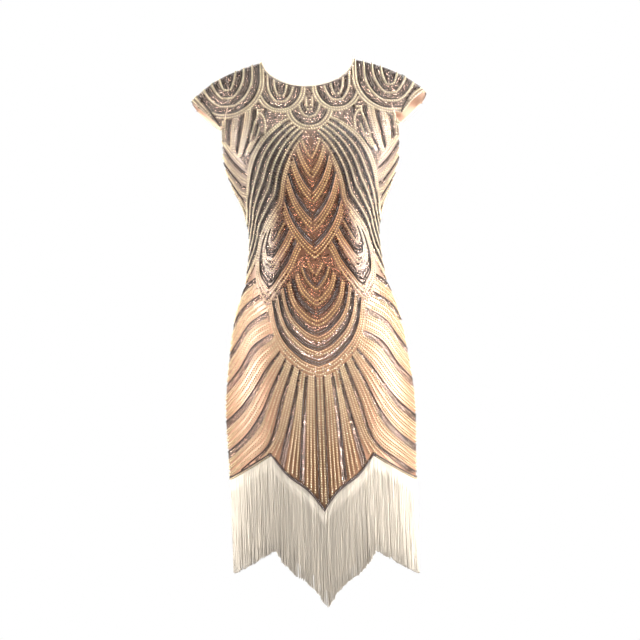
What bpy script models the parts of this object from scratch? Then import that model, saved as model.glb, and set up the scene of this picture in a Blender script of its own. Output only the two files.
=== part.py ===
"""A flapper dress, filled out as it is worn and hollow inside.

The dress hangs from its shoulders. The origin lies midway between the two neck points, where the
shoulder seams meet the neckline. +X is the wearer's left, the front faces -Y and +Z is up.
Lengths in the tables are in millimetres, and MM turns them into metres.
"""

import math

import bmesh
import bpy
from mathutils import Vector

MM = 0.001

CLOTH_THICKNESS = 1.8 * MM
SEAM_GAP = 0.3 * MM
SEAM_HALF = SEAM_GAP / 2

FRONT = -1
BACK = 1
LEFT = 1
RIGHT = -1

# The body's cross-sections: an oval at each height, half of it before and half behind the seams.
# Above the underarm the ovals carry the shoulders and the cap sleeves.
SECTION_COLUMNS = ("height", "half_width", "front_depth", "back_depth", "squareness")
SECTIONS = (
    (-900, 176, 116, 110, 2.2),
    (-784, 178, 117, 112, 2.2),
    (-669, 181, 118, 118, 2.2),
    (-577, 172, 115, 118, 2.2),
    (-485, 156, 107, 108, 2.2),
    (-416, 133, 98, 93, 2.2),
    (-340, 124, 94, 83, 2.2),
    (-289, 131, 102, 87, 2.2),
    (-231, 155, 117, 96, 2.3),
    (-185, 168, 122, 101, 2.4),
    (-140, 169, 112, 100, 2.6),
    (-122, 169, 104, 97, 2.8),
    (-110, 196, 98, 93, 2.5),
    (-98, 230, 92, 88, 2.2),
    (-84, 238, 84, 82, 2.0),
    (-70, 225, 76, 75, 2.0),
    (-53, 209, 68, 68, 2.0),
    (-33, 179, 56, 58, 2.0),
    (-12, 130, 47, 49, 2.0),
    (0, 89, 40, 42, 2.0),
)

UNDERARM_HEIGHT = -122 * MM
UNDERARM_HALF_WIDTH = 169 * MM
NECK_HALF_WIDTH = 89 * MM
NECK_DROP = {FRONT: 57 * MM, BACK: 47 * MM}
NECK_SHARE = 0.52  # how far round from the middle the columns end at the neckline
SHOULDER_POINT = 162 * MM  # from the middle, where the armhole meets the shoulder seam
ARMHOLE_HOLLOW = 12.5 * MM  # how far the armhole curves in towards the neck

# The pointed hem, seen from the front: a tip in the middle, a peak to each side, then a lobe round
# each side seam.
HEM_TIP = -856 * MM
HEM_PEAK = -752 * MM
HEM_PEAK_ACROSS = 95 * MM
HEM_SIDE = -803 * MM
HEM_HALF_WIDTH = 177 * MM
HEM_SWAY = 0.06  # how much the edge between tip and peak sways about a straight line
HEM_SQUARENESS = 2.2
HEM_SLANT = 0.035  # the hem hangs a little lower on the left side of the body

SLEEVE_CENTRE = (197 * MM, -96 * MM)
SLEEVE_TIP_FROM_CENTRE = (28 * MM, 26 * MM)
# how far the free edge bows out and up, which in front isn't the same on both shoulders
SLEEVE_EDGE_BOW = {
    (LEFT, FRONT): (-3.5 * MM, 7.5 * MM),
    (RIGHT, FRONT): (2.0 * MM, -1.0 * MM),
    (LEFT, BACK): (4.5 * MM, -4.5 * MM),
    (RIGHT, BACK): (4.5 * MM, -4.5 * MM),
}
SLEEVE_EDGE_REACH = {FRONT: 52 * MM, BACK: 56 * MM}
SLEEVE_EDGE_FULLNESS = 0.7
SLEEVE_RISE = 3.7 * MM  # how far the sleeve bows out between armhole and edge
SLEEVE_SEAM = 1.2 * MM

FRINGE_LENGTH = 180 * MM
FRINGE_THICKNESS = 4.0 * MM
FRINGE_PROUD = 1.0 * MM
FRINGE_GAP = 0.5 * MM

BAND_HEIGHT = 5.0 * MM
BAND_THICKNESS = 1.0 * MM

BINDING_RADIUS = 1.5 * MM
BINDING_IN = 1.4 * MM
BINDING_UP = 1.5 * MM

COLUMNS_TO_PEAK = 4
COLUMNS_TO_SIDE = 9
ROWS_BELOW_UNDERARM = 18
ROWS_ABOVE_UNDERARM = 12
# columns of a cap sleeve from its foot on the armhole to the shoulder seam
FRONT_SLEEVE_COLUMNS = {LEFT: 9, RIGHT: 11}
BACK_SLEEVE_COLUMNS = 11
SLEEVE_ROWS = 4

# colour, roughness, metallic
FINISHES = {
    "beaded_net": ((0.62, 0.45, 0.33), 0.45, 0.15),
    "beaded_net_back": ((0.60, 0.44, 0.33), 0.45, 0.15),
    "cap_sleeve": ((0.58, 0.47, 0.38), 0.45, 0.15),
    "neck_beads": ((0.35, 0.26, 0.20), 0.40, 0.20),
    "hem_beads": ((0.26, 0.19, 0.14), 0.40, 0.20),
    "fringe_yarn": ((0.80, 0.77, 0.70), 0.70, 0.00),
}


def clear_scene():
    for item in list(bpy.data.objects):
        bpy.data.objects.remove(item, do_unlink=True)


def make_material(name):
    colour, roughness, metallic = FINISHES[name]
    material = bpy.data.materials.new(name)
    material.use_nodes = True
    shader = material.node_tree.nodes["Principled BSDF"]
    shader.inputs["Base Color"].default_value = (*colour, 1.0)
    shader.inputs["Roughness"].default_value = roughness
    shader.inputs["Metallic"].default_value = metallic
    return material


def steady_slope(before, after):
    """The slope at a row between two slopes, which never lets the curve overshoot."""
    if before * after <= 0:
        return 0.0
    return 2 * before * after / (before + after)


def section_value(height, column):
    """One column of the section table, read smoothly at a height in metres."""
    index = SECTION_COLUMNS.index(column)
    level = min(max(height / MM, SECTIONS[0][0]), SECTIONS[-1][0])
    low = max(i for i in range(len(SECTIONS) - 1) if SECTIONS[i][0] <= level)
    slopes = []
    for i in range(low - 1, low + 2):
        if 0 <= i < len(SECTIONS) - 1:
            rise = SECTIONS[i + 1][index] - SECTIONS[i][index]
            slopes.append(rise / (SECTIONS[i + 1][0] - SECTIONS[i][0]))
        else:
            slopes.append(None)
    here = slopes[1]
    start_slope = here if slopes[0] is None else steady_slope(slopes[0], here)
    end_slope = here if slopes[2] is None else steady_slope(here, slopes[2])
    span = SECTIONS[low + 1][0] - SECTIONS[low][0]
    t = (level - SECTIONS[low][0]) / span
    start = SECTIONS[low][index]
    end = SECTIONS[low + 1][index]
    value = start * (1 + 2 * t) * (1 - t) ** 2 + end * t * t * (3 - 2 * t)
    value += start_slope * span * t * (1 - t) ** 2 - end_slope * span * t * t * (1 - t)
    return value


def oval(height, side):
    """Half width, depth and squareness of the section at a height, in metres."""
    depth = "front_depth" if side == FRONT else "back_depth"
    half_width = section_value(height, "half_width") * MM
    return half_width, section_value(height, depth) * MM, section_value(height, "squareness")


def depth_at(across, height, side):
    """How far the cloth stands before or behind the seams, seen from the front at this place."""
    half_width, depth, squareness = oval(height, side)
    inside = 1 - min(abs(across) / half_width, 1) ** squareness
    return depth * inside ** (1 / squareness)


def across_at(share, height):
    """The place across of a column, a share from 0 in the middle to 1 at the side seam."""
    half_width, _, squareness = oval(height, FRONT)
    across = half_width * math.sin(math.pi / 2 * abs(share)) ** (2 / squareness)
    return math.copysign(across, share)


def body_point(side, share, height):
    """A point of the cloth below the underarm."""
    _, depth, squareness = oval(height, side)
    reach = depth * max(math.cos(math.pi / 2 * abs(share)), 0) ** (2 / squareness)
    return Vector((across_at(share, height), side * max(reach, SEAM_HALF), height))


def shoulder_height(across):
    """The height of the shoulder line, which is where the section is just this wide."""
    low, high = -70 * MM, 0.0
    for _ in range(40):
        middle = (low + high) / 2
        if oval(middle, FRONT)[0] > abs(across):
            low = middle
        else:
            high = middle
    return (low + high) / 2


def neckline(share, side):
    """The neckline from the middle, at share 0, to the neck point, at share 1."""
    turn = math.pi / 2 * share
    return NECK_HALF_WIDTH * math.sin(turn), -NECK_DROP[side] * math.cos(turn)


def top_edge(share, side):
    """Where a column ends: on the neckline, or on the shoulder seam past the neck point."""
    reach = abs(share)
    if reach <= NECK_SHARE:
        across, height = neckline(reach / NECK_SHARE, side)
    else:
        along = (reach - NECK_SHARE) / (1 - NECK_SHARE)
        across = NECK_HALF_WIDTH + (SHOULDER_POINT - NECK_HALF_WIDTH) * along
        height = shoulder_height(across)
    return math.copysign(across, share), height


def yoke_point(side, share, turn):
    """A point above the underarm. The turn runs from -90 degrees there to 90 at the top edge."""
    climb = (1 + math.sin(turn)) / 2
    top_across, top_height = top_edge(share, side)
    bottom_across = across_at(share, UNDERARM_HEIGHT)
    hollow = math.copysign(ARMHOLE_HOLLOW * abs(share) ** 4 * math.cos(turn), share)
    across = bottom_across + (top_across - bottom_across) * climb - hollow
    height = UNDERARM_HEIGHT + (top_height - UNDERARM_HEIGHT) * climb
    reach = depth_at(across, height, side)
    return Vector((across, side * max(reach, SEAM_HALF), height))


def hem_height(share):
    """The height of the pointed hem at a column."""
    across = HEM_HALF_WIDTH * math.sin(math.pi / 2 * abs(share)) ** (2 / HEM_SQUARENESS)
    slant = HEM_SLANT * math.copysign(across, share)
    if across <= HEM_PEAK_ACROSS:
        t = across / HEM_PEAK_ACROSS
        tongue = t + HEM_SWAY * math.sin(2 * math.pi * t)
        return HEM_TIP + (HEM_PEAK - HEM_TIP) * tongue - slant
    t = (across - HEM_PEAK_ACROSS) / (HEM_HALF_WIDTH - HEM_PEAK_ACROSS)
    return HEM_PEAK + (HEM_SIDE - HEM_PEAK) * t - slant


def peak_share():
    """The column on which the hem peaks."""
    sine = (HEM_PEAK_ACROSS / HEM_HALF_WIDTH) ** (HEM_SQUARENESS / 2)
    return math.asin(sine) / (math.pi / 2)


def column_shares():
    """The columns from one side seam to the other, with one on each hem peak."""
    peak = peak_share()
    half = [peak * i / COLUMNS_TO_PEAK for i in range(COLUMNS_TO_PEAK)]
    half += [peak + (1 - peak) * i / COLUMNS_TO_SIDE for i in range(COLUMNS_TO_SIDE + 1)]
    return [-share for share in reversed(half[1:])] + half


def fullness(place):
    """0 on the body's surface, above 0 outside it and below 0 inside it."""
    side = FRONT if place.y < 0 else BACK
    half_width, depth, squareness = oval(place.z, side)
    return (abs(place.x) / half_width) ** squareness + (abs(place.y) / depth) ** squareness - 1


def outward_at(place):
    """The way straight out of the body's surface at one of its points."""
    step = 0.4 * MM
    across = Vector((step, 0, 0))
    through = Vector((0, step if abs(place.y) > step else 0, 0))
    above = Vector((0, 0, min(step, -place.z)))
    below = Vector((0, 0, step))
    outward = Vector((fullness(place + across) - fullness(place - across), 0, 0))
    outward.y = fullness(place + through) - fullness(place - through)
    outward.z = (fullness(place + above) - fullness(place - below)) * 2 * step
    outward.z /= step + above.z
    return outward.normalized()


def add_wall(name, columns, rows, point, outward, thickness, material, collection):
    """A grid bent to shape, with a wall as thick as told on its inner side.

    point(i, j) places the corner of column i and row j, and outward(i, j) points out of the cloth.
    """
    mesh = bmesh.new()
    bmesh.ops.create_grid(mesh, x_segments=columns, y_segments=rows, size=0.5)
    grown = bmesh.ops.extrude_face_region(mesh, geom=mesh.faces[:], use_keep_orig=True)
    inner = {item for item in grown["geom"] if isinstance(item, bmesh.types.BMVert)}
    for vertex in mesh.verts:
        i = round((vertex.co.x + 0.5) * columns)
        j = round((vertex.co.y + 0.5) * rows)
        vertex.co = point(i, j)
        if vertex in inner:
            vertex.co -= outward(i, j) * thickness
    bmesh.ops.recalc_face_normals(mesh, faces=mesh.faces)
    data = bpy.data.meshes.new(name)
    mesh.to_mesh(data)
    mesh.free()
    data.materials.append(material)
    data.shade_smooth()
    data.set_sharp_from_angle(angle=math.radians(50))
    piece = bpy.data.objects.new(name, data)
    collection.objects.link(piece)


def make_panel(name, side, material, collection):
    shares = column_shares()
    rows = ROWS_BELOW_UNDERARM + ROWS_ABOVE_UNDERARM

    def point(i, j):
        if j <= ROWS_BELOW_UNDERARM:
            hem = hem_height(shares[i])
            height = hem + (UNDERARM_HEIGHT - hem) * j / ROWS_BELOW_UNDERARM
            return body_point(side, shares[i], height)
        turn = math.pi * ((j - ROWS_BELOW_UNDERARM) / ROWS_ABOVE_UNDERARM - 0.5)
        return yoke_point(side, shares[i], turn)

    def outward(i, j):
        return outward_at(point(i, j))

    columns = len(shares) - 1
    add_wall(name, columns, rows, point, outward, CLOTH_THICKNESS, material, collection)


def sleeve_edge(hand, side, turn):
    """The cap sleeve's free edge, from its tip at 90 degrees down towards the underarm."""
    sine, cosine = math.sin(turn), max(math.cos(turn), 0)
    bow_out, bow_up = SLEEVE_EDGE_BOW[hand, side]
    across = SLEEVE_CENTRE[0] + SLEEVE_TIP_FROM_CENTRE[0] * sine + bow_out * cosine
    height = SLEEVE_CENTRE[1] + SLEEVE_TIP_FROM_CENTRE[1] * sine + bow_up * cosine
    return Vector((across, side * SLEEVE_EDGE_REACH[side] * cosine**SLEEVE_EDGE_FULLNESS, height))


def sleeve_point(hand, side, turn, out):
    """A point of a cap sleeve, from the armhole at out 0 to the free edge at out 1."""
    armhole = yoke_point(side, 1, turn)
    if turn > math.radians(89.9):
        armhole.y = 0
    edge = sleeve_edge(hand, side, turn)
    way_out = edge - armhole
    width = way_out.length
    start = armhole + way_out * (SLEEVE_SEAM / width)
    tip_width = (sleeve_edge(hand, side, math.pi / 2) - yoke_point(side, 1, math.pi / 2)).length
    middle = Vector((SHOULDER_POINT, 0, UNDERARM_HEIGHT))
    bow = (start + edge) / 2 - middle
    bow -= way_out * (bow.dot(way_out) / width**2)
    bow.normalize()
    rise = SLEEVE_RISE * width / tip_width * 4 * out * (1 - out)
    place = start.lerp(edge, out) + bow * rise
    return Vector((hand * place.x, place.y, place.z))


def sleeve_turn(hand, column):
    """The side and the turn of a sleeve's column, counted from its front foot over the shoulder."""
    past_shoulder = column - FRONT_SLEEVE_COLUMNS[hand]
    side = FRONT if past_shoulder <= 0 else BACK
    return side, math.pi * (0.5 - abs(past_shoulder) / ROWS_ABOVE_UNDERARM)


def make_sleeve(name, hand, material, collection):
    columns = FRONT_SLEEVE_COLUMNS[hand] + BACK_SLEEVE_COLUMNS

    def spot(column, out):
        side, turn = sleeve_turn(hand, column)
        return sleeve_point(hand, side, turn, out)

    def point(i, j):
        return spot(i, j / SLEEVE_ROWS)

    def outward(i, j):
        if j == 0:
            side, turn = sleeve_turn(hand, i)
            armhole = yoke_point(side, 1, turn)
            armhole.x *= hand
            return outward_at(armhole)
        column_step, out_step = 0.1, 0.01
        out = min(j / SLEEVE_ROWS, 1 - out_step)
        here = min(max(i, column_step), columns - column_step)
        along = spot(here + column_step, out) - spot(here - column_step, out)
        away = spot(here, out + out_step) - spot(here, out - out_step)
        return away.cross(along).normalized() * hand

    add_wall(name, columns, SLEEVE_ROWS, point, outward, CLOTH_THICKNESS, material, collection)


def make_neck_binding(name, material, collection):
    """A cord-like binding just inside the neckline, front and back in one ring."""
    shares = [share for share in column_shares() if abs(share) < NECK_SHARE]
    shares = [-NECK_SHARE] + shares + [NECK_SHARE]
    ring = [yoke_point(FRONT, share, math.pi / 2) for share in shares]
    ring += [yoke_point(BACK, share, math.pi / 2) for share in reversed(shares[1:-1])]
    curve = bpy.data.curves.new(name, "CURVE")
    curve.dimensions = "3D"
    curve.bevel_depth = BINDING_RADIUS
    curve.bevel_resolution = 1
    line = curve.splines.new("POLY")
    line.points.add(len(ring) - 1)
    line.use_cyclic_u = True
    for spot, place in zip(line.points, ring):
        inwards = Vector((place.x, place.y, 0)).normalized() * BINDING_IN
        if abs(abs(place.x) - NECK_HALF_WIDTH) < MM:
            place.y = 0
            inwards = Vector((math.copysign(BINDING_IN, place.x), 0, 0))
        spot.co = (*(place - inwards + Vector((0, 0, BINDING_UP))), 1)
    curve.materials.append(material)
    binding = bpy.data.objects.new(name, curve)
    collection.objects.link(binding)


def make_hem_band(name, side, material, collection):
    """A narrow beaded band on the cloth along the hem, made from the panel's points moved out."""
    shares = column_shares()

    def cloth(i, j):
        return body_point(side, shares[i], hem_height(shares[i]) + BAND_HEIGHT * j)

    def outward(i, j):
        return outward_at(cloth(i, j))

    def point(i, j):
        return cloth(i, j) + outward(i, j) * (SEAM_GAP + BAND_THICKNESS)

    add_wall(name, len(shares) - 1, 1, point, outward, BAND_THICKNESS, material, collection)


def make_fringe(name, side, material, collection):
    """A plain wall in the fringe's place, hanging straight down from the hem."""
    shares = column_shares()

    def outward(i, _):
        flat = outward_at(body_point(side, shares[i], hem_height(shares[i])))
        flat.z = 0
        return flat.normalized()

    def point(i, j):
        place = body_point(side, shares[i], hem_height(shares[i]))
        place += outward(i, j) * FRINGE_PROUD
        place.z -= FRINGE_GAP + (1 - j) * FRINGE_LENGTH
        return place

    add_wall(name, len(shares) - 1, 1, point, outward, FRINGE_THICKNESS, material, collection)


def main():
    clear_scene()
    collection = bpy.data.collections.new("flapper_dress")
    bpy.context.scene.collection.children.link(collection)
    finishes = {name: make_material(name) for name in FINISHES}
    make_panel("front_panel", FRONT, finishes["beaded_net"], collection)
    make_panel("back_panel", BACK, finishes["beaded_net_back"], collection)
    make_sleeve("cap_sleeve_left", LEFT, finishes["cap_sleeve"], collection)
    make_sleeve("cap_sleeve_right", RIGHT, finishes["cap_sleeve"], collection)
    make_neck_binding("neck_binding", finishes["neck_beads"], collection)
    make_hem_band("hem_band_front", FRONT, finishes["hem_beads"], collection)
    make_hem_band("hem_band_back", BACK, finishes["hem_beads"], collection)
    make_fringe("fringe_front", FRONT, finishes["fringe_yarn"], collection)
    make_fringe("fringe_back", BACK, finishes["fringe_yarn"], collection)


main()
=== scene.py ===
# %% [markdown]
# # A beaded flapper dress
# The dress is a sheath of nude net that is worn as a hollow form: a front, a back, two cap sleeves,
# a neck binding, a pointed hem and a long chainette fringe. Thousands of seed beads, bugle beads
# and sequins are sewn on in rows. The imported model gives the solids, and every piece here is a thin
# shell or a set of small beads that sits where its solid is.

# %% Load the frame
import math

import bmesh
import bpy
import numpy as np
from mathutils import Matrix, Vector
from mathutils.bvhtree import BVHTree


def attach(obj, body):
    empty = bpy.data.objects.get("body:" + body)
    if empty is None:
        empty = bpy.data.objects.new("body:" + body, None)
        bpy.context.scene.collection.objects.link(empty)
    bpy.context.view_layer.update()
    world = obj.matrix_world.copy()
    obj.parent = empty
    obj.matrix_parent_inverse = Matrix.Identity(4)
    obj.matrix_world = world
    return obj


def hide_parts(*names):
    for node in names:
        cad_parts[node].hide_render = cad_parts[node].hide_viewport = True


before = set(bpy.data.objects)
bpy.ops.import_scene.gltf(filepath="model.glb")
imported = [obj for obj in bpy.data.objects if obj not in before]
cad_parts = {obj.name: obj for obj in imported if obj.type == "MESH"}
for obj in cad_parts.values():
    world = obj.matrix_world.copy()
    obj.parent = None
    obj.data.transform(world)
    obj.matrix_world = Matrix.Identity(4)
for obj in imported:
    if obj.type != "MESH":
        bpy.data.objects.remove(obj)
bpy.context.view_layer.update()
MM = 0.001
CM = 0.01
rng = np.random.default_rng(1925)
print("frame nodes:", ", ".join(sorted(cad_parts)))

# %% [markdown]
# ## Small helpers
# A tape measure laid along a line of places tells the length run so far, and where on the line a
# given length is reached. Rows of beads, the picot and the fringe are all measured off like this.

# %% Measuring along a line, and setting a piece in the scene
def run_along(places):
    """The length run so far at each of a line's places."""
    return np.concatenate([[0], np.cumsum(np.linalg.norm(np.diff(places, axis=0), axis=1))])


def spots_at(at, run, places):
    """The spots that lie at these lengths along the line."""
    return np.stack([np.interp(at, run, column) for column in places.T], axis=-1)


def unit(rows):
    """Each row made one long."""
    return rows / np.linalg.norm(rows, axis=1)[:, None]


def facing(normal, outward):
    return normal if normal.dot(outward) > 0 else -normal


def set_out(name, data):
    """A new object that is linked into the scene."""
    piece = bpy.data.objects.new(name, data)
    bpy.context.scene.collection.objects.link(piece)
    return piece


# %% [markdown]
# ## The form of the dress
# A cutter would drape the dress on a stand and measure it at some heights. The table is such a list:
# at each height the body is an oval with a half width, a depth before and behind the side seams, and
# a squareness. Above the underarm the ovals carry the shoulders. One smooth curve runs through each
# column, and a fine look-up of it makes it fast to read for thousands of beads at once.

# %% The sections
SECTION_COLUMNS = ("height", "half_width", "front_depth", "back_depth", "squareness")
SECTIONS = (
    (-900, 176, 116, 110, 2.2),
    (-784, 178, 117, 112, 2.2),
    (-669, 181, 118, 118, 2.2),
    (-577, 172, 115, 118, 2.2),
    (-485, 156, 107, 108, 2.2),
    (-416, 133, 98, 93, 2.2),
    (-340, 124, 94, 83, 2.2),
    (-289, 131, 102, 87, 2.2),
    (-231, 155, 117, 96, 2.3),
    (-185, 168, 122, 101, 2.4),
    (-140, 169, 112, 100, 2.6),
    (-122, 169, 104, 97, 2.8),
    (-110, 196, 98, 93, 2.5),
    (-98, 230, 92, 88, 2.2),
    (-84, 238, 84, 82, 2.0),
    (-70, 225, 76, 75, 2.0),
    (-53, 209, 68, 68, 2.0),
    (-33, 179, 56, 58, 2.0),
    (-12, 130, 47, 49, 2.0),
    (0, 89, 40, 42, 2.0),
)


def steady_curve(heights, values, at):
    """A smooth curve through the values that never overshoots them."""
    rise = np.diff(values) / np.diff(heights)
    slope = np.zeros(len(values))
    slope[0], slope[-1] = rise[0], rise[-1]
    same_way = rise[:-1] * rise[1:] > 0
    both = rise[:-1] + rise[1:]
    slope[1:-1] = np.where(same_way, 2 * rise[:-1] * rise[1:] / np.where(same_way, both, 1), 0)
    low = np.clip(np.searchsorted(heights, at, side="right") - 1, 0, len(heights) - 2)
    span = heights[low + 1] - heights[low]
    t = (at - heights[low]) / span
    value = values[low] * (1 + 2 * t) * (1 - t) ** 2 + values[low + 1] * t * t * (3 - 2 * t)
    return value + slope[low] * span * t * (1 - t) ** 2 - slope[low + 1] * span * t * t * (1 - t)


sections = np.array(SECTIONS, float)
levels = np.linspace(-900, 0, 3601)
smooth = {
    name: steady_curve(sections[:, 0], sections[:, i], levels)
    for i, name in enumerate(SECTION_COLUMNS)
}
for name in ("half_width", "front_depth", "back_depth"):
    smooth[name] = smooth[name] * MM
levels = levels * MM


def at_height(name, height):
    return np.interp(height, levels, smooth[name])


half_widths = [round(float(at_height("half_width", z)), 3) for z in (-0.67, -0.34, -0.17)]
print("hip, waist and bust half widths:", half_widths)

# %% [markdown]
# ## From flat places to places on the cloth
# A place on the dress is told in two ways. Low down it is a share round the body, from 0 in the
# middle of the front or back to 1 at the side seam, and a height. Higher up it is a distance across
# and a height, as seen from straight in front. Both are worked out here for many places at once.

# %% Places on the body
FRONT, BACK = -1, 1
SIDES = ((FRONT, "front"), (BACK, "back"))
LEFT, RIGHT = 1, -1
SEAM_HALF = 0.15 * MM
UNDERARM = -122 * MM


def side_depth(side, height):
    return at_height("front_depth" if side == FRONT else "back_depth", height)


def across_of(share, height):
    power = 2 / at_height("squareness", height)
    turn = np.clip(np.abs(share), 0, 1) * math.pi / 2
    return np.sign(share) * at_height("half_width", height) * np.sin(turn) ** power


def share_of(across, height):
    ratio = np.clip(np.abs(across) / at_height("half_width", height), 0, 1)
    turn = np.arcsin(ratio ** (at_height("squareness", height) / 2))
    return np.sign(across) * turn / (math.pi / 2)


def body_places(side, share, height):
    """Places on the cloth below the underarm, as an array of rows of x, y and z."""
    power = 2 / at_height("squareness", height)
    turn = np.clip(np.abs(share), 0, 1) * math.pi / 2
    reach = side_depth(side, height) * np.maximum(np.cos(turn), 0) ** power
    return np.stack([across_of(share, height), side * np.maximum(reach, SEAM_HALF), height], axis=-1)


def depth_of(side, across, height):
    """How far before or behind the side seams the cloth is at a place seen from in front."""
    squareness = at_height("squareness", height)
    inside = 1 - np.minimum(np.abs(across) / at_height("half_width", height), 1) ** squareness
    return side_depth(side, height) * inside ** (1 / squareness)


# %% The neck, the shoulder line and the pointed hem
NECK_HALF_WIDTH = 89 * MM
NECK_DROP = {FRONT: 57 * MM, BACK: 47 * MM}
NECK_SHARE = 0.52
SHOULDER_POINT = 162 * MM
ARMHOLE_HOLLOW = 12.5 * MM
HEM_TIP = -856 * MM
HEM_PEAK = -752 * MM
HEM_PEAK_ACROSS = 95 * MM
HEM_SIDE = -803 * MM
HEM_HALF_WIDTH = 177 * MM
HEM_SWAY = 0.06
HEM_SQUARENESS = 2.2
HEM_SLANT = 0.035

ridge_heights = levels[levels > -0.070]
ridge_across = smooth["half_width"][levels > -0.070]


def shoulder_height(across):
    """The height of the shoulder line at a distance across."""
    return np.interp(-np.abs(across), -ridge_across, ridge_heights)


def top_edge(side, share):
    """Where the cloth ends above: the neckline, then the shoulder seam past the neck point."""
    reach = np.abs(share)
    turn = np.clip(reach / NECK_SHARE, 0, 1) * math.pi / 2
    along = np.clip((reach - NECK_SHARE) / (1 - NECK_SHARE), 0, 1)
    seam_across = NECK_HALF_WIDTH + (SHOULDER_POINT - NECK_HALF_WIDTH) * along
    on_neck = reach <= NECK_SHARE
    across = np.where(on_neck, NECK_HALF_WIDTH * np.sin(turn), seam_across)
    height = np.where(on_neck, -NECK_DROP[side] * np.cos(turn), shoulder_height(seam_across))
    return np.sign(share) * across, height


def yoke_places(side, share, turn):
    """Places above the underarm. The turn runs from -90 degrees there to 90 at the top edge."""
    climb = (1 + np.sin(turn)) / 2
    top_across, top_height = top_edge(side, share)
    bottom = across_of(share, np.full_like(share, UNDERARM))
    hollow = np.sign(share) * ARMHOLE_HOLLOW * np.abs(share) ** 4 * np.cos(turn)
    across = bottom + (top_across - bottom) * climb - hollow
    height = UNDERARM + (top_height - UNDERARM) * climb
    reach = np.maximum(depth_of(side, across, height), SEAM_HALF)
    return np.stack([across, side * reach, height], axis=-1)


def hem_height(share):
    across = HEM_HALF_WIDTH * np.sin(math.pi / 2 * np.abs(share)) ** (2 / HEM_SQUARENESS)
    inner = np.clip(across / HEM_PEAK_ACROSS, 0, 1)
    tongue = HEM_TIP + (HEM_PEAK - HEM_TIP) * (inner + HEM_SWAY * np.sin(2 * math.pi * inner))
    outer = (across - HEM_PEAK_ACROSS) / (HEM_HALF_WIDTH - HEM_PEAK_ACROSS)
    lobe = HEM_PEAK + (HEM_SIDE - HEM_PEAK) * outer
    return np.where(across <= HEM_PEAK_ACROSS, tongue, lobe) - HEM_SLANT * across * np.sign(share)


print("hem at the middle and the side:", hem_height(np.array([0.0, 1.0])).round(4))

# %% [markdown]
# ## The net
# The real panels are cut flat from nude stretch net and sewn at the shoulders and sides. A sheet is
# a grid that is bent to the form, with a Solidify modifier for the cloth's thickness. The net pulls a
# little at the waist and under the bust, so shallow drag lines are pressed in there: each is a soft
# trough with its own place, slope, length and depth.

# %% Soft drag lines
CREASES = (  # across, height, slope, length, width, depth, all but the slope in millimetres
    (112, -292, -0.9, 70, 12, 1.6),
    (104, -322, -0.5, 60, 10, 1.4),
    (-108, -300, 0.8, 64, 11, 1.5),
    (-112, -334, 0.4, 52, 10, 1.2),
    (96, -362, 0.5, 66, 12, 1.5),
    (-100, -372, -0.6, 58, 11, 1.4),
    (128, -214, 1.4, 46, 10, 1.1),
    (-130, -222, -1.2, 50, 10, 1.2),
    (0, -352, 0.05, 120, 12, 0.9),
    (30, -388, 0.1, 90, 12, 0.8),
    (126, -452, 1.1, 80, 16, 1.3),
    (-122, -470, -1.0, 86, 15, 1.3),
)
BACK_CREASE_SHARE = 0.94  # the back's lines are mirrored, and lie a little nearer its middle


def crease_depth(side, across, height):
    """How deep the drag lines press the cloth in at each place."""
    depth = np.zeros_like(across)
    for x, z, slope, length, width, deep in CREASES:
        middle = (x * MM if side == FRONT else -x * MM * BACK_CREASE_SHARE, z * MM)
        along = np.array([1.0, slope]) / math.hypot(1, slope)
        du = (across - middle[0]) * along[0] + (height - middle[1]) * along[1]
        dv = -(across - middle[0]) * along[1] + (height - middle[1]) * along[0]
        depth += deep * MM * np.exp(-((du / (length * MM / 2)) ** 2) - (dv / (width * MM)) ** 2)
    return depth


def bent_sheet(name, columns, rows, places, flip):
    """A grid whose corners are moved to places, an array of columns + 1 by rows + 1 by 3."""
    mesh = bmesh.new()
    bmesh.ops.create_grid(mesh, x_segments=columns, y_segments=rows, size=0.5)
    uv_layer = mesh.loops.layers.uv.new("weave")
    spot = {}
    for vertex in mesh.verts:
        i = round((vertex.co.x + 0.5) * columns)
        j = round((vertex.co.y + 0.5) * rows)
        spot[vertex.index] = (i / columns, j / rows)
        vertex.co = places[i, j]
    mesh.verts.index_update()
    for face in mesh.faces:
        for loop in face.loops:
            loop[uv_layer].uv = spot[loop.vert.index]
    if flip:
        bmesh.ops.reverse_faces(mesh, faces=mesh.faces)
    data = bpy.data.meshes.new(name)
    mesh.to_mesh(data)
    mesh.free()
    data.shade_smooth()
    return set_out(name, data)


def give_wall(piece, thickness, inner_finish=0):
    """The sheet's own face stays outside, and the inner side may have a finish of its own."""
    wall = piece.modifiers.new("wall", "SOLIDIFY")
    wall.thickness = thickness
    wall.offset = -1
    wall.material_offset = inner_finish


def sheet_area(piece):
    return sum(polygon.area for polygon in piece.data.polygons)


# %% The front and the back
PANEL_COLUMNS = 96
BODY_ROWS = 130
YOKE_ROWS = 40
NET_THICKNESS = 1.2 * MM
SEAM_CLEAR = 4 * MM


def column_shares(columns):
    """Even columns from seam to seam, with the nearest ones pulled onto the two hem peaks."""
    shares = np.linspace(-1, 1, columns + 1)
    ratio = (HEM_PEAK_ACROSS / HEM_HALF_WIDTH) ** (HEM_SQUARENESS / 2)
    peak = math.asin(ratio) / (math.pi / 2)
    for target in (-peak, peak):
        shares[np.argmin(np.abs(shares - target))] = target
    return shares


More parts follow.
